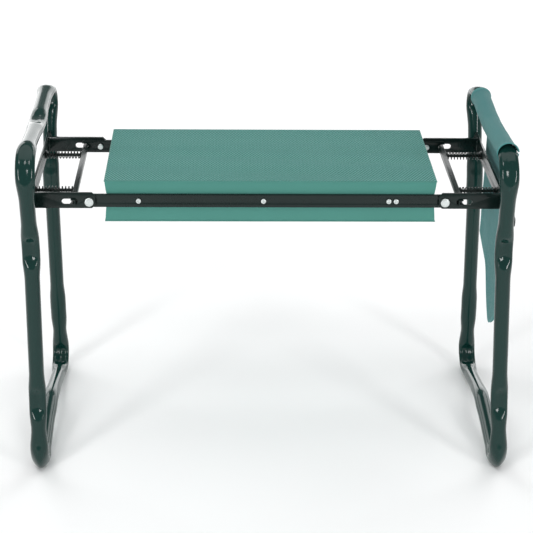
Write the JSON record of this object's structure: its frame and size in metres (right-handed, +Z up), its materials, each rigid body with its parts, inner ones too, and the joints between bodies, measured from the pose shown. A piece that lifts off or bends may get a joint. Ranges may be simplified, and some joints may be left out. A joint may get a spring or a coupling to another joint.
{
  "type": "garden kneeler seat",
  "caption": "Folding garden bench and kneeler: foam pad on steel rails between hinged tube side frames with sprung locks and a hanging tool pouch.",
  "frame": {"origin": "centre of the overall box, on the floor it stands on", "axes": "+X along the bench towards the pouch end, +Y to the back, +Z up"},
  "size_m": [0.6106, 0.3086, 0.4412],
  "materials": {
    "gloss_paint": "gloss dark green paint on steel tube",
    "dark_paint": "near-black green paint on flat steel",
    "zinc": "bright zinc plate",
    "spring_steel": "blackened spring wire",
    "foam": "closed-cell foam with an embossed tread face",
    "board": "plywood",
    "pouch_cloth": "woven polyester",
    "binding_tape": "dark woven tape"
  },
  "bodies": {
    "bench": {"upper_pad": "foam", "lower_pad": "foam", "core_board": "board", "front_rail": "dark_paint", "rear_rail": "dark_paint", "front_rail_screw_1": "zinc", "front_rail_screw_2": "zinc", "front_rail_screw_3": "zinc", "front_rail_screw_4": "zinc", "rear_rail_screw_1": "zinc", "rear_rail_screw_2": "zinc", "rear_rail_screw_3": "zinc", "rear_rail_screw_4": "zinc", "front_left_pivot_rivet": "zinc", "front_right_pivot_rivet": "zinc", "rear_left_pivot_rivet": "zinc", "rear_right_pivot_rivet": "zinc"},
    "left_frame": {"left_frame_tube": "gloss_paint", "left_cross_bar": "dark_paint", "left_front_bracket": "dark_paint", "left_rear_bracket": "dark_paint", "left_front_spring": "spring_steel", "left_rear_spring": "spring_steel"},
    "right_frame": {"right_frame_tube": "gloss_paint", "right_cross_bar": "dark_paint", "right_front_bracket": "dark_paint", "right_rear_bracket": "dark_paint", "right_front_spring": "spring_steel", "right_rear_spring": "spring_steel", "pouch_panel": "pouch_cloth", "pouch_pocket": "pouch_cloth", "pouch_binding": "binding_tape"},
    "left_lock": {"left_lock_bar": "dark_paint", "left_front_guide_rod": "dark_paint", "left_rear_guide_rod": "dark_paint"},
    "right_lock": {"right_lock_bar": "dark_paint", "right_front_guide_rod": "dark_paint", "right_rear_guide_rod": "dark_paint"}
  },
  "joints": [
    {"name": "left_fold", "type": "hinge", "parent": "bench", "child": "left_frame", "pos_m": [-0.22477, 0, 0.357], "axis": [0, -1, 0], "range_deg": [0, 90]},
    {"name": "right_fold", "type": "hinge", "parent": "bench", "child": "right_frame", "pos_m": [0.21123, 0, 0.357], "axis": [0, 1, 0], "range_deg": [0, 75]},
    {"name": "left_lock_slide", "type": "slide", "parent": "left_frame", "child": "left_lock", "axis": [-1, 0, 0], "range_m": [0, 0.0085], "stiffness_N_per_m": 1500, "springref_m": -0.002, "deforming": ["left_front_spring", "left_rear_spring"]},
    {"name": "right_lock_slide", "type": "slide", "parent": "right_frame", "child": "right_lock", "axis": [1, 0, 0], "range_m": [0, 0.0085], "stiffness_N_per_m": 1500, "springref_m": -0.002, "deforming": ["right_front_spring", "right_rear_spring"]}
  ]
}
